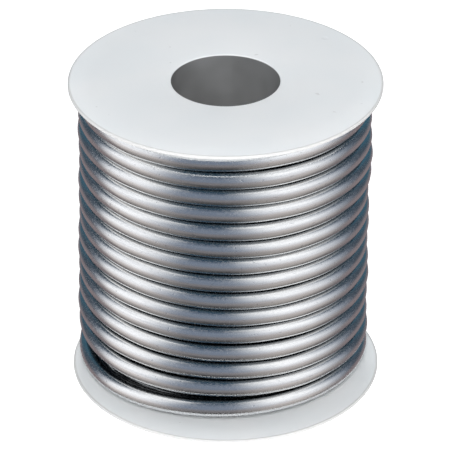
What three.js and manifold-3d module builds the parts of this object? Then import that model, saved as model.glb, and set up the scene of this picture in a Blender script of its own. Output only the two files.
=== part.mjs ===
// A one pound spool of thick solid solder wire: two plastic flanges whose collars plug into a thin
// barrel, and one wire wound on the barrel in four layers. Millimetres, +Z up. The spool stands on its
// bottom flange, with the origin at the centre of that flange's underside. -Y is the front.
import * as THREE from 'three';
import { mergeVertices } from 'three/addons/utils/BufferGeometryUtils.js';
import Module from 'manifold-3d';

const wasm = await Module();
wasm.setup();

// Spool
const OVERALL_HEIGHT = 54.4;
const FLANGE_DIAMETER = 52.0;
const FLANGE_THICKNESS = 0.6;
const FLANGE_EDGE_RADIUS = 0.2;
const BORE_DIAMETER = 18.0;
const COLLAR_WALL = 0.7;
const COLLAR_LENGTH = 13.0; // below the flange's inner face
const COLLAR_CLEARANCE = 0.2; // between the collar and the barrel, on the radius
const BARREL_WALL = 1.0;
const TOUCHING_GAP = 0.3; // left between pieces that touch on the real spool

// Slot in the barrel and the top collar, where the winding starts
const START_ANGLE = THREE.MathUtils.degToRad(50);
const SLOT_ANGLE = THREE.MathUtils.degToRad(52);
const SLOT_WIDE_END = 5.6;
const SLOT_NARROW_END = 1.6;
const SLOT_LENGTH = 9.0;

// Wire
const WIRE_DIAMETER = 3.175;
const LAYERS = 4;
const TURNS_PER_LAYER = 15;
const LAYER_SPACING = 3.2;
const FIRST_LAYER_RADIUS = 13.0; // of the wire's centreline
const WIRE_SECTION_RADIUS = 1.55; // corners of the six-sided section, just inside the round wire
const WIRE_SECTION_SIDES = 6;
const STEPS_PER_TURN = 16;
const CLIMB_TURNS = 0.25; // share of a turn in which the wire steps up to the next layer
const START_RADIUS = 10.9; // the wire's inner end, in the slot
const START_HOOK_TURNS = 1 / 16; // share of a turn in which the wire comes out of the slot

// Outer layer, counted in turns from the topmost one, whole numbers being at the front
const OUTER_TOP_HEIGHT = 51.5;
const OUTER_PITCH = 3.19;
const OUTER_SLACK = 1.6; // extra drop of the lowest turn, because the lower turns lie looser
const OUTER_LAST_TURN = 14;
const LEVEL_AT_ENDS = 1.0; // 1: turns lie level at the front and step up at the back
const LEVEL_IN_MIDDLE = -0.3;
const OUTER_END_TRIM = 0.25; // share of a turn missing at the wire's free end
const RESTING_DROP = 0.8; // how far the lowest turn sags towards the flange on the left

const ROUND_SEGMENTS = 72;
const CORNER_STEPS = 3;

const boreRadius = BORE_DIAMETER / 2;
const collarRadius = boreRadius + COLLAR_WALL;
const barrelInnerRadius = collarRadius + COLLAR_CLEARANCE;
const barrelOuterRadius = barrelInnerRadius + BARREL_WALL;
const lowestWire = FLANGE_THICKNESS + TOUCHING_GAP + WIRE_DIAMETER / 2;
const highestWire = OVERALL_HEIGHT - lowestWire;
const frontOffset = START_ANGLE / (2 * Math.PI) + 0.25; // turns from the start back round to the front

const whitePlastic = () => new THREE.MeshStandardMaterial({
  color: 0xe2e8ec, roughness: 0.45, metalness: 0.0,
});
const solderMetal = () => new THREE.MeshStandardMaterial({
  color: 0xa9afb7, roughness: 0.32, metalness: 1.0,
});

function toManifold(geometry) {
  const bare = geometry.clone();
  bare.deleteAttribute('normal');
  bare.deleteAttribute('uv');
  const merged = mergeVertices(bare, 1e-5);
  return new wasm.Manifold(new wasm.Mesh({
    numProp: 3,
    vertProperties: new Float32Array(merged.attributes.position.array),
    triVerts: new Uint32Array(merged.index.array),
  }));
}

function toGeometry(manifold) {
  const mesh = manifold.getMesh();
  const geometry = new THREE.BufferGeometry();
  geometry.setAttribute('position', new THREE.BufferAttribute(mesh.vertProperties, 3));
  geometry.setIndex(new THREE.BufferAttribute(mesh.triVerts, 1));
  geometry.computeVertexNormals();
  return geometry;
}

// A solid of revolution about Z from a closed outline of [radius, height] points that runs
// anticlockwise, so that its faces point out.
function revolved(outline) {
  const points = outline.map(([radius, height]) => new THREE.Vector2(radius, height));
  points.push(points[0].clone());
  const geometry = new THREE.LatheGeometry(points, ROUND_SEGMENTS);
  geometry.rotateX(Math.PI / 2);
  return geometry;
}

// Points of a round corner, about a centre, from one angle to another in degrees.
function corner(radius, height, cornerRadius, fromDegrees, toDegrees) {
  const points = [];
  for (let step = 0; step <= CORNER_STEPS; step++) {
    const angle = THREE.MathUtils.degToRad(
      THREE.MathUtils.lerp(fromDegrees, toDegrees, step / CORNER_STEPS));
    points.push([radius + cornerRadius * Math.cos(angle), height + cornerRadius * Math.sin(angle)]);
  }
  return points;
}

// A thin disc with rounded edges on z = 0, and a collar that rises from it round the bore.
function flangeGeometry() {
  const rim = FLANGE_DIAMETER / 2 - FLANGE_EDGE_RADIUS;
  return revolved([
    [boreRadius, 0],
    ...corner(rim, FLANGE_EDGE_RADIUS, FLANGE_EDGE_RADIUS, -90, 0),
    ...corner(rim, FLANGE_THICKNESS - FLANGE_EDGE_RADIUS, FLANGE_EDGE_RADIUS, 0, 90),
    [collarRadius, FLANGE_THICKNESS],
    [collarRadius, FLANGE_THICKNESS + COLLAR_LENGTH],
    [boreRadius, FLANGE_THICKNESS + COLLAR_LENGTH],
  ]);
}

// The barrel reaches from one flange to the other.
function barrelGeometry() {
  const bottom = FLANGE_THICKNESS + TOUCHING_GAP;
  const top = OVERALL_HEIGHT - bottom;
  return revolved([
    [barrelInnerRadius, bottom],
    [barrelOuterRadius, bottom],
    [barrelOuterRadius, top],
    [barrelInnerRadius, top],
  ]);
}

// The cutter for the start slot: a wedge under the top flange, which widens clockwise as seen from
// above, the way that the wire leaves it. It is drawn as seen from outside and reaches from the axis
// to beyond the barrel.
function slotCutter() {
  const outline = new THREE.Shape();
  outline.moveTo(-SLOT_LENGTH / 2, 0);
  outline.lineTo(-SLOT_LENGTH / 2, -SLOT_WIDE_END);
  outline.lineTo(SLOT_LENGTH / 2, -SLOT_NARROW_END);
  outline.lineTo(SLOT_LENGTH / 2, 0);
  outline.closePath();
  const reach = barrelOuterRadius + 2;
  const geometry = new THREE.ExtrudeGeometry(outline, { depth: reach, bevelEnabled: false });
  geometry.rotateX(Math.PI / 2);
  geometry.rotateZ(SLOT_ANGLE + Math.PI / 2);
  geometry.translate(0, 0, OVERALL_HEIGHT - FLANGE_THICKNESS);
  return geometry;
}

function withStartSlot(geometry) {
  return toGeometry(toManifold(geometry).subtract(toManifold(slotCutter())));
}

const smooth = (value) => THREE.MathUtils.smoothstep(value, 0, 1);

// Height of the outer layer at a turn counted from the top. The turns near both flanges lie level at
// the front and step up at the back, those between them slope evenly, and the lower ones lie looser.
function outerHeight(turn) {
  const fromMiddle = Math.abs(turn / OUTER_LAST_TURN * 2 - 1);
  const level = LEVEL_IN_MIDDLE + (LEVEL_AT_ENDS - LEVEL_IN_MIDDLE) * Math.min(fromMiddle, 1) ** 3;
  const wound = turn - level * Math.sin(2 * Math.PI * turn) / (2 * Math.PI);
  const slack = OUTER_SLACK * (Math.max(wound, 0) / OUTER_LAST_TURN) ** 4;
  const resting = RESTING_DROP * Math.exp(-(((turn - OUTER_LAST_TURN + 0.28) / 0.16) ** 2));
  const height = OUTER_TOP_HEIGHT - OUTER_PITCH * wound - slack - resting;
  return THREE.MathUtils.clamp(height, lowestWire, highestWire);
}

// The centreline of the wire, from its inner end in the start slot to its free end under the top
// flange. It is wound clockwise as seen from above, down, up, down and up again, and every turn has
// the same number of steps, so the corners of one layer lie over those of the layer below.
class WoundWire extends THREE.Curve {
  constructor() {
    super();
    this.turns = LAYERS * TURNS_PER_LAYER - OUTER_END_TRIM;
  }

  getPoint(t, target = new THREE.Vector3()) {
    const turn = t * this.turns;
    const layer = Math.min(Math.floor(turn / TURNS_PER_LAYER), LAYERS - 1);
    const angle = START_ANGLE - 2 * Math.PI * turn;
    const radius = this.radiusAt(turn);
    return target.set(radius * Math.cos(angle), radius * Math.sin(angle), this.heightAt(turn, layer));
  }

  radiusAt(turn) {
    let radius = FIRST_LAYER_RADIUS;
    for (let layer = 1; layer < LAYERS; layer++) {
      const climbed = (turn - layer * TURNS_PER_LAYER) / CLIMB_TURNS + 0.5;
      radius += LAYER_SPACING * smooth(climbed);
    }
    const hooked = 1 - smooth(turn / START_HOOK_TURNS);
    return radius - (FIRST_LAYER_RADIUS - START_RADIUS) * hooked;
  }

  heightAt(turn, layer) {
    if (layer === LAYERS - 1) {
      return outerHeight(OUTER_LAST_TURN + frontOffset - (turn - layer * TURNS_PER_LAYER));
    }
    const travelled = turn / TURNS_PER_LAYER - layer;
    const goesDown = layer % 2 === 0;
    return THREE.MathUtils.lerp(lowestWire, highestWire, goesDown ? 1 - travelled : travelled);
  }

  // Steps are shared out by turn and not by length.
  getUtoTmapping(u) {
    return u;
  }

  // The section keeps one side facing out and two corners up and down all the way along.
  computeFrenetFrames(segments) {
    const frames = { tangents: [], normals: [], binormals: [] };
    for (let step = 0; step <= segments; step++) {
      const tangent = this.getTangentAt(step / segments);
      const normal = this.getPointAt(step / segments).setZ(0).normalize();
      const binormal = new THREE.Vector3().crossVectors(tangent, normal).normalize();
      frames.tangents.push(tangent);
      frames.normals.push(normal);
      frames.binormals.push(binormal);
    }
    return frames;
  }
}

function wireGeometry() {
  const section = new THREE.Shape();
  for (let side = 0; side < WIRE_SECTION_SIDES; side++) {
    const angle = 2 * Math.PI * (side + 0.5) / WIRE_SECTION_SIDES;
    const x = WIRE_SECTION_RADIUS * Math.cos(angle);
    const y = WIRE_SECTION_RADIUS * Math.sin(angle);
    if (side === 0) section.moveTo(x, y);
    else section.lineTo(x, y);
  }
  section.closePath();
  const route = new WoundWire();
  return new THREE.ExtrudeGeometry(section, {
    steps: Math.round(route.turns * STEPS_PER_TURN),
    extrudePath: route,
    bevelEnabled: false,
  });
}

function named(name, geometry, material) {
  const mesh = new THREE.Mesh(geometry, material);
  mesh.name = name;
  return mesh;
}

function turnedOver(geometry) {
  geometry.rotateX(Math.PI);
  geometry.translate(0, 0, OVERALL_HEIGHT);
  return geometry;
}

const spool = new THREE.Group();
spool.name = 'solder_wire_spool';
spool.add(named('bottom_flange', flangeGeometry(), whitePlastic()));
spool.add(named('top_flange', withStartSlot(turnedOver(flangeGeometry())), whitePlastic()));
spool.add(named('barrel', withStartSlot(barrelGeometry()), whitePlastic()));
spool.add(named('solder_wire', wireGeometry(), solderMetal()));

export default spool;
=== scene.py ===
"""A one pound spool of thick solid solder wire, standing on its bottom flange on a pale floor.

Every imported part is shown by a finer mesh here: the wire as one round tube along its wound route, and
the two flanges and the barrel as revolved shapes with rounded edges. Metres, +Z up, -Y is the front.
"""
import math
import random

import bpy
import numpy as np
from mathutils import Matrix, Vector


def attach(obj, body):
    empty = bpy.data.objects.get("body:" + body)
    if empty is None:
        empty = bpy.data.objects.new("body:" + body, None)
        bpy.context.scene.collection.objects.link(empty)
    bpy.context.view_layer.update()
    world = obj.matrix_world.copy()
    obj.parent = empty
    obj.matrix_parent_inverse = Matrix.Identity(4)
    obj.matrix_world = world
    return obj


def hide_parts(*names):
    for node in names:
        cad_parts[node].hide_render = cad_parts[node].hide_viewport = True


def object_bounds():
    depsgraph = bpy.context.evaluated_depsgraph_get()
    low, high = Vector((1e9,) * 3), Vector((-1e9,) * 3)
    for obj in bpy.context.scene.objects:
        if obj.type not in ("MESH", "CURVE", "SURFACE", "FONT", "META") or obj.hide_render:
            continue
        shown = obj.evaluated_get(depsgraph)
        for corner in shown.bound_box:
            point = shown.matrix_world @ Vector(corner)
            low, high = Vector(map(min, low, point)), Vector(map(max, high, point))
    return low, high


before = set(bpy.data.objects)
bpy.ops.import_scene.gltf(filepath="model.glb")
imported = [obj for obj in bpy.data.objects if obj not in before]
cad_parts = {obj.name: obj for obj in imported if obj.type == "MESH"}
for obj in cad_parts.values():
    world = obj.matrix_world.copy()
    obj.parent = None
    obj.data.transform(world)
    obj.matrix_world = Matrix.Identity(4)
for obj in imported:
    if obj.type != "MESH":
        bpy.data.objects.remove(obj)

cad_low, cad_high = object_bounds()
scene = bpy.context.scene
MM = 0.001

# Spool, as in the CAD source
FLANGE_THICKNESS = 0.6 * MM
FLANGE_EDGE_RADIUS = 0.2 * MM
BORE_RADIUS = 9.0 * MM
COLLAR_WALL = 0.7 * MM
COLLAR_LENGTH = 13.0 * MM
BORE_EDGE_RADIUS = 0.15 * MM
BARREL_INNER_RADIUS = 9.9 * MM
BARREL_OUTER_RADIUS = 10.9 * MM
TOUCHING_GAP = 0.3 * MM
SLOT_ANGLE = math.radians(52)
SLOT_WIDE_END = 5.6 * MM
SLOT_NARROW_END = 1.6 * MM
SLOT_LENGTH = 9.0 * MM
GATE_MARK = (16.7 * MM, 15.0 * MM, 0.0)
GATE_MARK_RADIUS = 0.7 * MM
GATE_MARK_FLAT_RADIUS = 0.2 * MM

# Wire, as in the CAD source
WIRE_DIAMETER = 3.175 * MM
WIRE_RADIUS = WIRE_DIAMETER / 2
START_ANGLE = math.radians(50)
LAYERS = 4
TURNS_PER_LAYER = 15
LAYER_SPACING = 3.2 * MM
FIRST_LAYER_RADIUS = 13.0 * MM
CLIMB_TURNS = 0.25
START_RADIUS = 10.9 * MM
START_HOOK_TURNS = 1 / 16
OUTER_TOP_HEIGHT = 51.5 * MM
OUTER_PITCH = 3.19 * MM
OUTER_SLACK = 1.6 * MM
OUTER_LAST_TURN = 14
LEVEL_AT_ENDS = 1.0
LEVEL_IN_MIDDLE = -0.3
OUTER_END_TRIM = 0.25
RESTING_DROP = 0.8 * MM
RESTING_BEFORE_FRONT = 0.28
RESTING_SPREAD = 0.16
HIDDEN_TURNS = (LAYERS - 1) * TURNS_PER_LAYER

# Winding, finer than the CAD source. Turns are counted from the topmost one. A bulge has four
# turns, where it starts, is full, begins to fade and ends, and a face, which is its direction and its
# width to either side, in degrees from +X. A wave is how many of it go to a turn, and its size in mm.
OFF_CENTRE = 0.2 * MM
LEFT_BULGE = 0.5 * MM
LEFT_BULGE_TURNS = (0, OUTER_LAST_TURN, OUTER_LAST_TURN + 0.7, OUTER_LAST_TURN + 1)
LEFT_BULGE_FACE = (180, 75)
RIGHT_BULGE = 0.45 * MM
RIGHT_BULGE_TURNS = (0.6, 1.5, 4.0, 5.2)
RIGHT_BULGE_FACE = (12, 48)
LOWEST_TURN_SAG = 0.9 * MM
SAG_BEFORE_FRONT = 0.17
SAG_SPREAD = 0.12
WAVES = ((1.3, 0.06), (2.7, 0.05), (6.1, 0.03), (13.7, 0.015))
WAVES_IN_HEIGHT = 0.6

# Cut ends of the wire, as shares of its diameter
PINCHED_LENGTH = 0.75
PINCHED_THICKNESS = 0.10
SPREAD_WIDTH = 0.12
TIP_NARROWING = 0.10

OVERALL_HEIGHT = cad_high.z - cad_low.z
FLANGE_RADIUS = (cad_high.x - cad_low.x) / 2
LOWEST_WIRE = FLANGE_THICKNESS + TOUCHING_GAP + WIRE_RADIUS
HIGHEST_WIRE = OVERALL_HEIGHT - LOWEST_WIRE
FRONT_OFFSET = START_ANGLE / (2 * math.pi) + 0.25

# Fineness of the meshes. The wire's rings are dense over a short stretch, in turns, at each cut end.
WIRE_SIDES = 20
HIDDEN_STEPS_PER_TURN = 36
OUTER_STEPS_PER_TURN = 120
START_RINGS = 9
START_RINGS_TURNS = 0.03
END_RINGS = 11
END_RINGS_TURNS = 0.014
BEFORE_END_RINGS = 0.004
FLANGE_SEGMENTS = 256
SHARP_ON_WIRE = math.radians(50)
SHARP_ON_SPOOL = math.radians(32)

# Camera, at the photograph's viewing angle
CAMERA_ELEVATION = math.radians(30.05)
CAMERA_DISTANCE = 0.676
CAMERA_LENS = 322.0
CAMERA_AIM = Vector((-0.1 * MM, 0.0, OVERALL_HEIGHT / 2 - 0.35 * MM))

# Studio. A soft box has four azimuths, where it starts, is full, begins to fade and ends, and the two
# elevations between which it grows from its glow on the table to its whole strength. Degrees: azimuth
# 0 is the front and +X is 90.
LEFT_BOX = {
    "around": (-112.0, -90.0, -70.0, -28.0),
    "upward": (-50.0, 22.0),
    "glow": 0.2,
    "strength": 0.99,
}
RIGHT_BOX = {
    "around": (1.0, 50.0, 66.0, 113.0),
    "upward": (-40.0, 48.0),
    "glow": 0.28,
    "strength": 1.11,
}
BOX_TINT = (1.0, 0.975, 0.93)
BOXES_IN_GROOVES = 1.5
ROOM_IN_GROOVES = (0.17, 0.35, 0.45, 1.0)
WARM_TABLE = (1.0, 0.93, 0.89, 1.0)
STUDIO_ON_PLASTIC = 0.52
LAMP_DISTANCE = 1.4
LAMP_SIZE = 0.24
FLOOR_RADIUS = 1.5
FLOOR_THICKNESS = 2 * MM
FLOOR_MIDDLE = 0.001 * MM
FLOOR_SEGMENTS = 96


def add_object(name, data):
    made = bpy.data.objects.new(name, data)
    scene.collection.objects.link(made)
    return made


def add_camera():
    data = bpy.data.cameras.new("camera")
    data.sensor_width = 36.0
    data.lens = CAMERA_LENS
    data.clip_start = 0.01
    data.clip_end = 10.0
    camera = add_object("camera", data)
    back = Vector((0.0, -math.cos(CAMERA_ELEVATION), math.sin(CAMERA_ELEVATION)))
    camera.location = CAMERA_AIM + back * CAMERA_DISTANCE
    camera.rotation_euler = (-back).to_track_quat("-Z", "Y").to_euler()
    scene.camera = camera


# ---------------------------------------------------------------- wire

def smooth(value):
    """0 up to 0, 1 from 1 on, and a smooth step between."""
    value = np.clip(value, 0.0, 1.0)
    return value * value * (3.0 - 2.0 * value)


def turns_from_top(turn):
    """The outer layer's own count: 0 at the front of its topmost turn, and larger further down."""
    return OUTER_LAST_TURN + FRONT_OFFSET - (turn - HIDDEN_TURNS)


def outer_height(turn):
    """Height of the outer layer at a turn counted from the topmost one, whole numbers at the front."""
    from_middle = np.abs(turn / OUTER_LAST_TURN * 2 - 1)
    level = LEVEL_IN_MIDDLE + (LEVEL_AT_ENDS - LEVEL_IN_MIDDLE) * np.minimum(from_middle, 1) ** 3
    wound = turn - level * np.sin(2 * math.pi * turn) / (2 * math.pi)
    slack = OUTER_SLACK * (np.maximum(wound, 0) / OUTER_LAST_TURN) ** 4
    past_resting = turn - OUTER_LAST_TURN + RESTING_BEFORE_FRONT
    resting = RESTING_DROP * np.exp(-((past_resting / RESTING_SPREAD) ** 2))
    return np.clip(OUTER_TOP_HEIGHT - OUTER_PITCH * wound - slack - resting, LOWEST_WIRE, HIGHEST_WIRE)


def route_radius(turn):
    radius = np.full_like(turn, FIRST_LAYER_RADIUS)
    for layer in range(1, LAYERS):
        radius += LAYER_SPACING * smooth((turn - layer * TURNS_PER_LAYER) / CLIMB_TURNS + 0.5)
    hooked = 1.0 - smooth(turn / START_HOOK_TURNS)
    return radius - (FIRST_LAYER_RADIUS - START_RADIUS) * hooked


def route_height(turn):
    layer = np.minimum(turn // TURNS_PER_LAYER, LAYERS - 1)
    travelled = turn / TURNS_PER_LAYER - layer
    upward = np.where(layer % 2 == 0, 1 - travelled, travelled)
    hidden = LOWEST_WIRE + (HIGHEST_WIRE - LOWEST_WIRE) * upward
    return np.where(layer == LAYERS - 1, outer_height(turns_from_top(turn)), hidden)


def hand_winding(turn, rng):
    """Small lasting unevenness of the outer layer, in radius and height."""
    shown = smooth((turn - HIDDEN_TURNS - 0.5) / 0.5)
    radius = np.zeros_like(turn)
    height = np.zeros_like(turn)
    for waves_per_turn, size in WAVES:
        phases = (rng.uniform(0, 2 * math.pi), rng.uniform(0, 2 * math.pi))
        radius += size * MM * np.sin(2 * math.pi * waves_per_turn * turn + phases[0])
        height += WAVES_IN_HEIGHT * size * MM * np.sin(2 * math.pi * waves_per_turn * turn + phases[1])
    return shown * radius, shown * height


def lean(turn, angle):
    """How far the winding sits off centre, in radius: all of it a little to the left, and its outer
    turns bulging left towards the bottom, and right at turns two to five from the top."""
    from_top = turns_from_top(turn)
    aside = -OFF_CENTRE * np.cos(angle) * smooth(turn)
    right = RIGHT_BULGE * among(from_top, *RIGHT_BULGE_TURNS) * facing(angle, *RIGHT_BULGE_FACE)
    left = LEFT_BULGE * among(from_top, *LEFT_BULGE_TURNS) * facing(angle, *LEFT_BULGE_FACE)
    outer = smooth((turn - HIDDEN_TURNS) / 0.5)
    return aside + outer * (right + left)


def among(from_top, start, full, fading, end):
    """1 from the full turn to the fading one, and 0 before the start and after the end."""
    rising = smooth((from_top - start) / (full - start))
    falling = smooth((end - from_top) / (end - fading))
    return rising * falling


def facing(angle, degrees, width):
    """1 at a direction about the axis, fading to 0 at a width either side of it."""
    apart = np.abs(np.angle(np.exp(1j * (angle - math.radians(degrees)))))
    return smooth(1.0 - apart / math.radians(width))


def sag(turn):
    """The lowest outer turn hangs lower at the left of the front, and leaves a gap above it."""
    past_sag = turns_from_top(turn) - OUTER_LAST_TURN + SAG_BEFORE_FRONT
    return LOWEST_TURN_SAG * np.exp(-((past_sag / SAG_SPREAD) ** 2))


def route_turns():
    """Turn counts of the tube's rings: sparse in the hidden layers, dense outside and at both ends."""
    last_turn = LAYERS * TURNS_PER_LAYER - OUTER_END_TRIM
    step = 1 / HIDDEN_STEPS_PER_TURN
    start = np.linspace(0.0, START_RINGS_TURNS, START_RINGS)
    hidden = np.arange(START_RINGS_TURNS + step, HIDDEN_TURNS, step)
    end = np.linspace(last_turn - END_RINGS_TURNS, last_turn, END_RINGS)
    outer = np.arange(HIDDEN_TURNS, end[0] - BEFORE_END_RINGS, 1 / OUTER_STEPS_PER_TURN)
    return np.concatenate([start, hidden, outer, end])


def wire_centreline():
    turn = route_turns()
    angle = START_ANGLE - 2 * math.pi * turn
    rough_radius, rough_height = hand_winding(turn, random.Random(7))
    radius = route_radius(turn) + rough_radius + lean(turn, angle)
    height = np.clip(route_height(turn) + rough_height - sag(turn), LOWEST_WIRE, HIGHEST_WIRE)
    return np.stack([radius * np.cos(angle), radius * np.sin(angle), height], axis=1)


def unit(vectors):
    return vectors / np.linalg.norm(vectors, axis=1, keepdims=True)


def snipped(distance):
    """How thick and how wide the wire is, at a distance from a cut end, where the cutter pinched it."""
    along = np.clip(distance / (PINCHED_LENGTH * WIRE_DIAMETER), 0.0, 1.0)
    thick = PINCHED_THICKNESS + (1 - PINCHED_THICKNESS) * np.sin(along * math.pi / 2) ** 0.8
    wide = 1.0 + SPREAD_WIDTH * np.sin(along * math.pi) - TIP_NARROWING * (1 - along) ** 2
    return thick, wide


def tube(name, centres):
    """One closed round tube along centres, with pinched ends, and the point attribute `straight`: the
    distance along the wire and the place in its section."""
    tangents = unit(np.gradient(centres, axis=0))
    radial = centres * (1.0, 1.0, 0.0)
    radial = unit(radial - tangents * np.sum(radial * tangents, axis=1, keepdims=True))
    across = np.cross(tangents, radial)
    steps = np.linalg.norm(np.diff(centres, axis=0), axis=1)
    along = np.concatenate([[0.0], np.cumsum(steps)])
    thick_start, wide_start = snipped(along)
    thick_end, wide_end = snipped(along[-1] - along)
    thick = WIRE_RADIUS * thick_start * thick_end
    wide = WIRE_RADIUS * wide_start * wide_end

    points = []
    straight = []
    for side in range(WIRE_SIDES):
        angle = 2 * math.pi * side / WIRE_SIDES
        offset_radial = (wide * math.cos(angle))[:, None]
        offset_across = (thick * math.sin(angle))[:, None]
        points.append(centres + radial * offset_radial + across * offset_across)
        straight.append(np.concatenate([along[:, None], offset_radial, offset_across], axis=1))
    points = np.stack(points, axis=1).reshape(-1, 3)
    straight = np.stack(straight, axis=1).reshape(-1, 3)

    faces = []
    for ring in range(len(centres) - 1):
        here = ring * WIRE_SIDES
        there = here + WIRE_SIDES
        for side in range(WIRE_SIDES):
            beside = (side + 1) % WIRE_SIDES
            faces.append((here + side, here + beside, there + beside, there + side))
    last = (len(centres) - 1) * WIRE_SIDES
    faces.append(tuple(range(WIRE_SIDES - 1, -1, -1)))
    faces.append(tuple(range(last, last + WIRE_SIDES)))

    mesh = bpy.data.meshes.new(name)
    mesh.from_pydata(points.tolist(), [], faces)
    attribute = mesh.attributes.new("straight", "FLOAT_VECTOR", "POINT")
    attribute.data.foreach_set("vector", straight.astype(np.float32).ravel())
    mesh.shade_smooth()
    mesh.set_sharp_from_angle(angle=SHARP_ON_WIRE)
    return add_object(name, mesh), along[-1]


# ---------------------------------------------------------------- spool

def corner(radius, height, size, from_degrees, to_degrees, steps=6):
    """Points of a round corner about a centre, from one angle to another."""
    angles = np.radians(np.linspace(from_degrees, to_degrees, steps + 1))
    return [(radius + size * math.cos(a), height + size * math.sin(a)) for a in angles]


def revolved(name, outline, segments):
    """A closed solid of revolution about Z from an anticlockwise outline of (radius, height)."""
    count = len(outline)
    points = []
    faces = []
    for segment in range(segments):
        angle = 2 * math.pi * segment / segments
        points += [(r * math.cos(angle), r * math.sin(angle), h) for r, h in outline]
        here = segment * count
        there = (segment + 1) % segments * count
        for i in range(count):
            j = (i + 1) % count
            faces.append((here + i, there + i, there + j, here + j))
    mesh = bpy.data.meshes.new(name)
    mesh.from_pydata(points, [], faces)
    return add_object(name, mesh)


def flange_outline():
    rim = FLANGE_RADIUS - FLANGE_EDGE_RADIUS
    collar = BORE_RADIUS + COLLAR_WALL
    collar_end = FLANGE_THICKNESS + COLLAR_LENGTH
    edge = BORE_EDGE_RADIUS
    return [
        *corner(rim, FLANGE_EDGE_RADIUS, FLANGE_EDGE_RADIUS, -90, 0),
        *corner(rim, FLANGE_THICKNESS - FLANGE_EDGE_RADIUS, FLANGE_EDGE_RADIUS, 0, 90),
        (collar + edge, FLANGE_THICKNESS),
        (collar, FLANGE_THICKNESS + edge),
        (collar, collar_end - edge),
        (collar - edge, collar_end),
        (BORE_RADIUS, collar_end),
        *corner(BORE_RADIUS + edge, edge, edge, 180, 270),
    ]


def barrel_outline():
    bottom = FLANGE_THICKNESS + TOUCHING_GAP
    top = OVERALL_HEIGHT - bottom
    return [
        (BARREL_INNER_RADIUS, bottom),
        (BARREL_OUTER_RADIUS, bottom),
        (BARREL_OUTER_RADIUS, top),
        (BARREL_INNER_RADIUS, top),
    ]


def slot_cutter():
    """A wedge under the top flange that widens clockwise as seen from above."""
    reach = BARREL_OUTER_RADIUS + 2 * MM
    outward = Vector((math.cos(SLOT_ANGLE), math.sin(SLOT_ANGLE), 0))
    aside = Vector((-outward.y, outward.x, 0))
    top = OVERALL_HEIGHT - FLANGE_THICKNESS
    outline = [
        (-SLOT_LENGTH / 2, top),
        (-SLOT_LENGTH / 2, top - SLOT_WIDE_END),
        (SLOT_LENGTH / 2, top - SLOT_NARROW_END),
        (SLOT_LENGTH / 2, top),
    ]
    points = [aside * x + Vector((0, 0, z)) for x, z in outline]
    points += [p + outward * reach for p in points]
    faces = [(0, 1, 2, 3), (7, 6, 5, 4), (0, 4, 5, 1), (1, 5, 6, 2), (2, 6, 7, 3), (3, 7, 4, 0)]
    mesh = bpy.data.meshes.new("slot_cutter")
    mesh.from_pydata(points, [], faces)
    return add_object("slot_cutter", mesh)


def cut_start_slot(piece):
    cutter = slot_cutter()
    modifier = piece.modifiers.new("start slot", "BOOLEAN")
    modifier.operation = "DIFFERENCE"
    modifier.solver = "EXACT"
    modifier.object = cutter
    evaluated = piece.evaluated_get(bpy.context.evaluated_depsgraph_get())
    piece.data = bpy.data.meshes.new_from_object(evaluated)
    piece.modifiers.clear()
    bpy.data.objects.remove(cutter)


def smooth_shaded(piece):
    piece.data.shade_smooth()
    piece.data.set_sharp_from_angle(angle=SHARP_ON_SPOOL)
    return piece


def turned_over(piece):
    """The same moulding the other way up, at the top of the spool."""
    for vertex in piece.data.vertices:
        x, y, z = vertex.co
        vertex.co = (x, -y, OVERALL_HEIGHT - z)
    return piece


# ---------------------------------------------------------------- materials

def add_node(tree, kind, inputs=None, **settings):
    """A node with its settings, and with its inputs either linked to a socket or set to a value."""
    made = tree.nodes.new(kind)
    for name, value in settings.items():
        setattr(made, name, value)
    for name, value in (inputs or {}).items():
        if isinstance(value, bpy.types.NodeSocket):
            tree.links.new(value, made.inputs[name])
        else:
            made.inputs[name].default_value = value
    return made


def maths(tree, operation, first, second=0.0):
    return add_node(tree, "ShaderNodeMath", {0: first, 1: second}, operation=operation).outputs[0]


def mapped(tree, value, from_low, from_high, to_low, to_high):
    """value carried smoothly from one range to another, and held at its ends."""
    inputs = {"Value": value, "From Min": from_low, "From Max": from_high}
    inputs |= {"To Min": to_low, "To Max": to_high}
    return add_node(tree, "ShaderNodeMapRange", inputs, interpolation_type="SMOOTHSTEP").outputs["Result"]


def mixed(tree, factor, first, second, blend="MIX"):
    """Mix of two colours, each a socket or a colour."""
    inputs = {0: factor, 6: first, 7: second}
    return add_node(tree, "ShaderNodeMix", inputs, data_type="RGBA", blend_type=blend).outputs[2]


def plain(value):
    """A grey with no hue."""
    return (value, value, value, 1.0)


def noise(tree, vector, scale, detail=2.0, roughness=0.5):
    inputs = {"Vector": vector, "Scale": scale, "Detail": detail, "Roughness": roughness}
    return add_node(tree, "ShaderNodeTexNoise", inputs).outputs["Fac"]


def stretched(tree, vector, factors):
    inputs = {0: vector, 1: factors}
    return add_node(tree, "ShaderNodeVectorMath", inputs, operation="MULTIPLY").outputs[0]


def bump(tree, height, distance, strength=1.0, normal=None):
    inputs = {"Height": height, "Distance": distance, "Strength": strength}
    if normal is not None:
        inputs["Normal"] = normal
    return add_node(tree, "ShaderNodeBump", inputs).outputs["Normal"]


def new_material(name):
    material = bpy.data.materials.new(name)
    material.use_nodes = True
    tree = material.node_tree
    return material, tree, tree.nodes["Principled BSDF"]


def towards_neighbour(tree, straight):
    """0 at the middle of the wire's outer side, and 1 where it touches the turn beside it."""
    across = add_node(tree, "ShaderNodeSeparateXYZ", {0: straight}).outputs[2]
    return maths(tree, "DIVIDE", maths(tree, "ABSOLUTE", across), WIRE_RADIUS)


def groove_shade(tree, straight):
    """Painted shade: dark colour along both sides of the wire, where it lies against its neighbours."""
    return mapped(tree, towards_neighbour(tree, straight), 0.88, 0.98, 0.0, 0.7)


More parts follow.
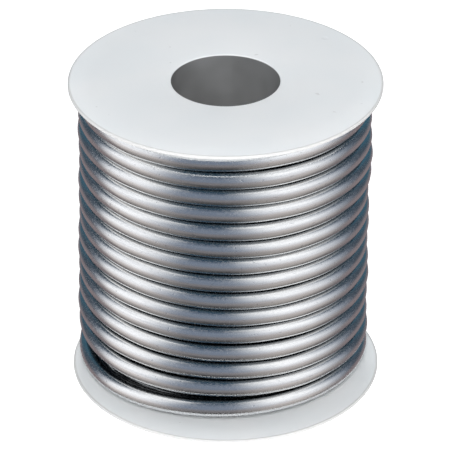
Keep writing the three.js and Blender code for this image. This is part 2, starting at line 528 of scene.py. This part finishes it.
def from_axis(tree, place):
    """Distance of a place from the spool's axis."""
    flat = stretched(tree, place, (1.0, 1.0, 0.0))
    return add_node(tree, "ShaderNodeVectorMath", {0: flat}, operation="LENGTH").outputs["Value"]


def inner_layer_shade(tree):
    """Painted shade on the layers under the outer one, seen only through gaps."""
    place = add_node(tree, "ShaderNodeTexCoord").outputs["Object"]
    outer_layer = FIRST_LAYER_RADIUS + (LAYERS - 1) * LAYER_SPACING
    inside = outer_layer - WIRE_RADIUS
    return mapped(tree, from_axis(tree, place), inside - 0.3 * MM, inside + 0.4 * MM, 0.95, 0.0)


def solder_material():
    """Satin drawn solder: fine lengthwise draw lines, a dull grain that hazes it, pits and soft dents."""
    material, tree, shader = new_material("solder")
    straight = add_node(tree, "ShaderNodeAttribute", attribute_name="straight").outputs["Vector"]
    lines = noise(tree, stretched(tree, straight, (0.02, 1.0, 1.0)), 3200.0, 3.0, 0.6)
    mottling = noise(tree, stretched(tree, straight, (0.35, 1.0, 1.0)), 700.0, 3.0, 0.6)
    grain = noise(tree, stretched(tree, straight, (0.22, 1.0, 1.0)), 9000.0, 1.0, 0.5)
    pits = noise(tree, stretched(tree, straight, (0.6, 1.0, 1.0)), 2200.0, 1.0, 0.5)
    hazy = maths(tree, "ADD", grain, maths(tree, "MULTIPLY", mottling, 0.35))
    hazy = mapped(tree, hazy, 0.62, 0.80, 0.0, 1.0)
    open_side = mapped(tree, towards_neighbour(tree, straight), 0.6, 0.85, 1.0, 0.0)
    pits = maths(tree, "MULTIPLY", mapped(tree, pits, 0.69, 0.76, 0.0, 1.0), open_side)

    bright = (0.82, 0.825, 0.83, 1.0)
    grey = (0.68, 0.69, 0.71, 1.0)
    pitted = (0.40, 0.42, 0.45, 1.0)
    groove_shade_colour = (0.13, 0.15, 0.165, 1.0)
    inner_shade_colour = (0.10, 0.105, 0.11, 1.0)
    colour = mixed(tree, mapped(tree, lines, 0.35, 0.65, 0.0, 0.6), bright, grey)
    colour = mixed(tree, maths(tree, "MULTIPLY", pits, 0.3), colour, pitted)
    # painted shade: the wire is coloured dark along the grooves where turns touch
    colour = mixed(tree, groove_shade(tree, straight), colour, groove_shade_colour)
    # painted shade: the hidden inner layers are coloured nearly black
    colour = mixed(tree, inner_layer_shade(tree), colour, inner_shade_colour)
    tree.links.new(colour, shader.inputs["Base Color"])

    satin = mapped(tree, lines, 0.3, 0.7, 0.13, 0.19)
    rough = maths(tree, "ADD", satin, maths(tree, "MULTIPLY", hazy, 0.14))
    tree.links.new(rough, shader.inputs["Roughness"])
    shader.inputs["Metallic"].default_value = 1.0

    dents = noise(tree, stretched(tree, straight, (0.8, 1.0, 1.0)), 240.0, 1.0, 0.5)
    normal = bump(tree, lines, 0.005 * MM)
    normal = bump(tree, pits, -0.012 * MM, 1.0, normal)
    normal = bump(tree, dents, 0.05 * MM, 1.0, normal)
    tree.links.new(normal, shader.inputs["Normal"])
    return material


def painted_bore_shade(tree, radius, height, clouds):
    """How much painted shade darkens the inside of the spool, between the edges of the bore."""
    wall = BARREL_INNER_RADIUS
    inside = mapped(tree, radius, wall + 0.2 * MM, wall + 0.4 * MM, 1.0, 0.0)
    middle = OVERALL_HEIGHT / 2
    from_middle = maths(tree, "ABSOLUTE", maths(tree, "SUBTRACT", height, middle))
    below = mapped(tree, from_middle, middle - 0.25 * MM, middle - 0.05 * MM, 1.0, 0.0)
    shade_strength = mapped(tree, clouds, 0.3, 0.7, 0.80, 0.90)
    return maths(tree, "MULTIPLY", shade_strength, maths(tree, "MULTIPLY", inside, below))


def gate_mark(tree, place):
    """1 in the small round dent where the plastic was let into the mould, and 0 elsewhere."""
    inputs = {0: stretched(tree, place, (1.0, 1.0, 0.0)), 1: GATE_MARK}
    apart = add_node(tree, "ShaderNodeVectorMath", inputs, operation="DISTANCE").outputs["Value"]
    return mapped(tree, apart, GATE_MARK_FLAT_RADIUS, GATE_MARK_RADIUS, 1.0, 0.0)


def plastic_material():
    """Satin white moulded plastic with faint round flow marks, fine grain, a gate mark, a few specks, and
    painted shade in the bore and on the rim."""
    material, tree, shader = new_material("spool_plastic")
    place = add_node(tree, "ShaderNodeTexCoord").outputs["Object"]
    parts = add_node(tree, "ShaderNodeSeparateXYZ", {0: place})
    radius = from_axis(tree, place)
    ring_place = add_node(tree, "ShaderNodeCombineXYZ", {0: radius}).outputs[0]
    rings = noise(tree, ring_place, 900.0, 2.0)
    clouds = noise(tree, place, 90.0, 2.0)
    grain = noise(tree, place, 5000.0, 2.0)
    specks = mapped(tree, noise(tree, place, 700.0, 1.0), 0.76, 0.80, 0.0, 1.0)

    cool_white = (0.795, 0.813, 0.820, 1.0)
    warm_white = (0.810, 0.820, 0.823, 1.0)
    speck_brown = (0.45, 0.44, 0.43, 1.0)
    painted_rim_shade = (0.42, 0.40, 0.38, 1.0)
    colour = mixed(tree, mapped(tree, clouds, 0.3, 0.7, 0.0, 1.0), cool_white, warm_white)
    colour = mixed(tree, maths(tree, "MULTIPLY", specks, 0.35), colour, speck_brown)
    # painted shade: the bore's wall is coloured nearly black
    colour = mixed(tree, painted_bore_shade(tree, radius, parts.outputs[2], clouds), colour, plain(0.07))
    # painted shade: the outer edge of each flange is coloured a darker brown-grey
    rim = mapped(tree, radius, FLANGE_RADIUS - 0.5 * MM, FLANGE_RADIUS - 0.15 * MM, 0.0, 0.5)
    colour = mixed(tree, rim, colour, painted_rim_shade)
    tree.links.new(colour, shader.inputs["Base Color"])
    rough = mapped(tree, clouds, 0.3, 0.7, 0.40, 0.50)
    tree.links.new(rough, shader.inputs["Roughness"])
    shader.inputs["Subsurface Weight"].default_value = 0.5
    shader.inputs["Subsurface Radius"].default_value = (1.0, 1.0, 1.0)
    shader.inputs["Subsurface Scale"].default_value = 0.7 * MM

    normal = bump(tree, rings, 0.006 * MM)
    normal = bump(tree, gate_mark(tree, place), -0.04 * MM, 1.0, normal)
    normal = bump(tree, grain, 0.002 * MM, 1.0, normal)
    tree.links.new(normal, shader.inputs["Normal"])
    return material


def floor_material():
    """Plain pale paper: mostly its own even brightness, so that only a faint shadow shows on it."""
    material, tree, shader = new_material("floor_paper")
    place = add_node(tree, "ShaderNodeTexCoord").outputs["Object"]
    paper = noise(tree, place, 400.0, 2.0)
    colour = mixed(tree, paper, plain(0.80), plain(0.84))
    tree.links.new(colour, shader.inputs["Base Color"])
    shader.inputs["Roughness"].default_value = 0.9
    shader.inputs["Specular IOR Level"].default_value = 0.1
    shader.inputs["Emission Color"].default_value = plain(1.0)
    shader.inputs["Emission Strength"].default_value = 0.62
    return material


# ---------------------------------------------------------------- studio

def box_share(tree, azimuth, elevation, box):
    """How much of a soft box is in a direction. Its glow on the table ends underfoot."""
    start, full, fading, end = box["around"]
    low, high = box["upward"]
    rising = mapped(tree, azimuth, start, full, 0.0, 1.0)
    falling = mapped(tree, azimuth, fading, end, 1.0, 0.0)
    upward = mapped(tree, elevation, low, high, box["glow"], 1.0)
    underfoot = mapped(tree, elevation, -85.0, -60.0, 0.0, 1.0)
    around = maths(tree, "MULTIPLY", rising, falling)
    return maths(tree, "MULTIPLY", around, maths(tree, "MULTIPLY", upward, underfoot))


def add_soft_box(tree, colour, azimuth, elevation, box, in_grooves):
    """The studio's colour with the light of a soft box added to it."""
    whole = tuple(box["strength"] * tint for tint in BOX_TINT) + (1.0,)
    light = mixed(tree, box_share(tree, azimuth, elevation, box), plain(0.0), whole)
    light = mixed(tree, in_grooves, light, plain(BOXES_IN_GROOVES), "MULTIPLY")
    return mixed(tree, 1.0, colour, light, "ADD")


def front_of_room(tree, elevation):
    """Sky and table of the near half: a dim blue-grey front under a dark ceiling."""
    front = (0.20, 0.24, 0.31, 1.0)
    ceiling = (0.03, 0.06, 0.10, 1.0)
    sky = mixed(tree, mapped(tree, elevation, 25.0, 75.0, 0.0, 1.0), front, ceiling)
    underfoot = (0.06, 0.065, 0.07, 1.0)
    outward = (0.235, 0.24, 0.26, 1.0)
    table = mixed(tree, mapped(tree, elevation, -70.0, -20.0, 0.0, 1.0), underfoot, outward)
    return sky, table


def back_of_room(tree, elevation, from_front):
    """Sky and table of the far half: navy walls that turn teal right behind, under a dark ceiling."""
    side_wall = (0.055, 0.075, 0.10, 1.0)
    back_wall = (0.045, 0.125, 0.18, 1.0)
    ceiling = (0.025, 0.045, 0.06, 1.0)
    wall = mixed(tree, mapped(tree, from_front, 124.0, 146.0, 0.0, 1.0), side_wall, back_wall)
    sky = mixed(tree, mapped(tree, elevation, 25.0, 48.0, 0.0, 1.0), wall, ceiling)
    outward = (0.26, 0.23, 0.25, 1.0)
    table = mixed(tree, mapped(tree, elevation, -70.0, -30.0, 0.0, 1.0), plain(0.08), outward)
    return sky, table


def studio_colour(tree):
    """A soft studio round the spool: a room with a tall soft box at each side, and a table that is
    warmer than the walls. For light that has reflected more than once, as it has in the grooves
    between the turns, the room is dimmer and bluer and the boxes are brighter."""
    direction = add_node(tree, "ShaderNodeTexCoord").outputs["Generated"]
    x, y, z = add_node(tree, "ShaderNodeSeparateXYZ", {0: direction}).outputs
    degrees = 180 / math.pi
    forward = maths(tree, "MULTIPLY", y, -1.0)
    azimuth = maths(tree, "MULTIPLY", maths(tree, "ARCTAN2", x, forward), degrees)
    elevation = maths(tree, "MULTIPLY", maths(tree, "ARCSINE", z), degrees)
    from_front = maths(tree, "ABSOLUTE", azimuth)

    near_sky, near_table = front_of_room(tree, elevation)
    far_sky, far_table = back_of_room(tree, elevation, from_front)
    behind = mapped(tree, from_front, 95.0, 122.0, 0.0, 1.0)
    sky = mixed(tree, behind, near_sky, far_sky)
    table = mixed(tree, behind, near_table, far_table)
    colour = mixed(tree, mapped(tree, elevation, -26.0, 2.0, 0.0, 1.0), table, sky)

    # The ray depth that the world sees is 2 after one reflection, and 3 after two.
    depth = add_node(tree, "ShaderNodeLightPath").outputs["Ray Depth"]
    in_grooves = mapped(tree, depth, 2.0, 3.0, 0.0, 1.0)
    colour = mixed(tree, in_grooves, colour, ROOM_IN_GROOVES, "MULTIPLY")
    for box in (LEFT_BOX, RIGHT_BOX):
        colour = add_soft_box(tree, colour, azimuth, elevation, box, in_grooves)
    low = mapped(tree, elevation, -25.0, 20.0, 1.0, 0.0)
    return mixed(tree, low, colour, WARM_TABLE, "MULTIPLY")


def studio_world():
    """White as seen by the camera, the soft studio in reflections, and the same studio dimmed for
    the matt plastic, which the two lamps light."""
    world = bpy.data.worlds.new("studio")
    scene.world = world
    world.use_nodes = True
    tree = world.node_tree
    tree.nodes.clear()
    path = add_node(tree, "ShaderNodeLightPath")
    strength = mapped(tree, path.outputs["Is Diffuse Ray"], 0.0, 1.0, 1.0, STUDIO_ON_PLASTIC)
    studio = add_node(tree, "ShaderNodeBackground", {"Color": studio_colour(tree), "Strength": strength})
    seen = add_node(tree, "ShaderNodeBackground", {"Color": plain(1.0), "Strength": 1.0})
    shaders = {0: path.outputs["Is Camera Ray"], 1: studio.outputs[0], 2: seen.outputs[0]}
    both = add_node(tree, "ShaderNodeMixShader", shaders)
    output = add_node(tree, "ShaderNodeOutputWorld")
    tree.links.new(both.outputs[0], output.inputs["Surface"])


def add_lamp(name, energy, azimuth, elevation):
    """A round lamp that only matt surfaces see, in a direction given in degrees."""
    data = bpy.data.lights.new(name, "AREA")
    data.shape = "DISK"
    data.size = LAMP_SIZE
    data.energy = energy
    lamp = add_object(name, data)
    a, e = math.radians(azimuth), math.radians(elevation)
    away = Vector((math.sin(a) * math.cos(e), -math.cos(a) * math.cos(e), math.sin(e)))
    lamp.location = CAMERA_AIM + away * LAMP_DISTANCE
    lamp.rotation_euler = away.to_track_quat("Z", "Y").to_euler()
    lamp.visible_glossy = False
    lamp.visible_camera = False


def add_floor():
    outline = [
        (FLOOR_MIDDLE, -FLOOR_THICKNESS),
        (FLOOR_RADIUS, -FLOOR_THICKNESS),
        (FLOOR_RADIUS, 0.0),
        (FLOOR_MIDDLE, 0.0),
    ]
    floor = revolved("floor", outline, FLOOR_SEGMENTS)
    floor.data.materials.append(floor_material())
    floor.visible_glossy = False


# ---------------------------------------------------------------- the whole

def finished(piece, material, node):
    """Gives a piece its material, and lets it stand for the CAD node of the same part."""
    piece.data.materials.clear()
    piece.data.materials.append(material)
    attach(piece, "root")
    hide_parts(node)


add_camera()

centreline = wire_centreline()
wire, wire_length = tube("wound_wire", centreline)
finished(wire, solder_material(), "solder_wire")

plastic = plastic_material()
lower_flange = smooth_shaded(revolved("lower_flange", flange_outline(), FLANGE_SEGMENTS))
upper_flange = turned_over(revolved("upper_flange", flange_outline(), FLANGE_SEGMENTS))
cut_start_slot(upper_flange)
smooth_shaded(upper_flange)
barrel = revolved("winding_barrel", barrel_outline(), FLANGE_SEGMENTS)
cut_start_slot(barrel)
smooth_shaded(barrel)
finished(lower_flange, plastic, "bottom_flange")
finished(upper_flange, plastic, "top_flange")
finished(barrel, plastic, "barrel")

studio_world()
add_lamp("front_lamp", energy=17.2, azimuth=0.0, elevation=34.0)
add_lamp("rear_lamp", energy=4.0, azimuth=180.0, elevation=75.0)
add_floor()
scene.view_settings.view_transform = "Standard"
